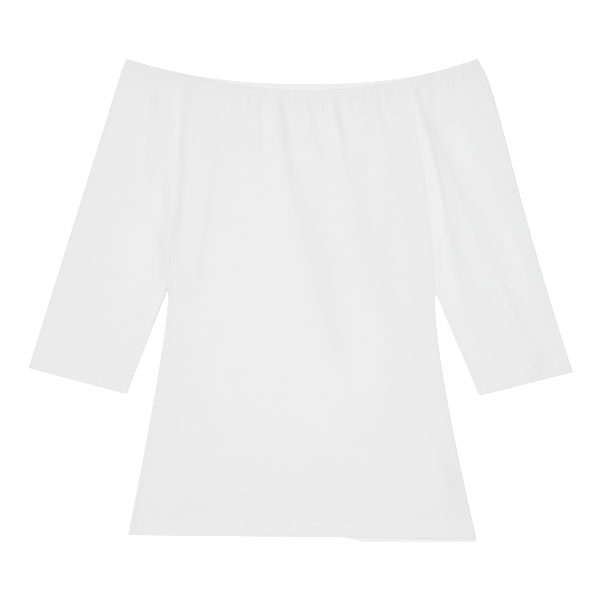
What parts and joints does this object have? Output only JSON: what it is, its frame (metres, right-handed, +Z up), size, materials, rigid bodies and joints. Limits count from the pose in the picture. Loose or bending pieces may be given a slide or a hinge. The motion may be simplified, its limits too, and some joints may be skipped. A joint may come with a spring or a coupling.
{
  "type": "off-shoulder top",
  "caption": "Off-shoulder jersey top laid flat: an elastic neckline casing gathers the cloth below it, with raglan sleeves to below the elbow and a flared body.",
  "frame": {"origin": "on the surface that the garment lies on, under the middle of its laid-out outline", "axes": "+Z up from the surface, +Y from the hem to the neckline, +X towards the sleeve of the wearer's left arm, to the right as the front is looked at"},
  "size_m": [0.7355, 0.6529, 0.0063],
  "materials": {
    "jersey": "matt fine single jersey, white",
    "casing_jersey": "the same jersey, folded over elastic and slightly puckered"
  },
  "bodies": {
    "root": {"front_body": "jersey", "back_body": "jersey", "sleeve_left_arm": "jersey", "sleeve_right_arm": "jersey", "neck_casing": "casing_jersey"}
  },
  "joints": []
}
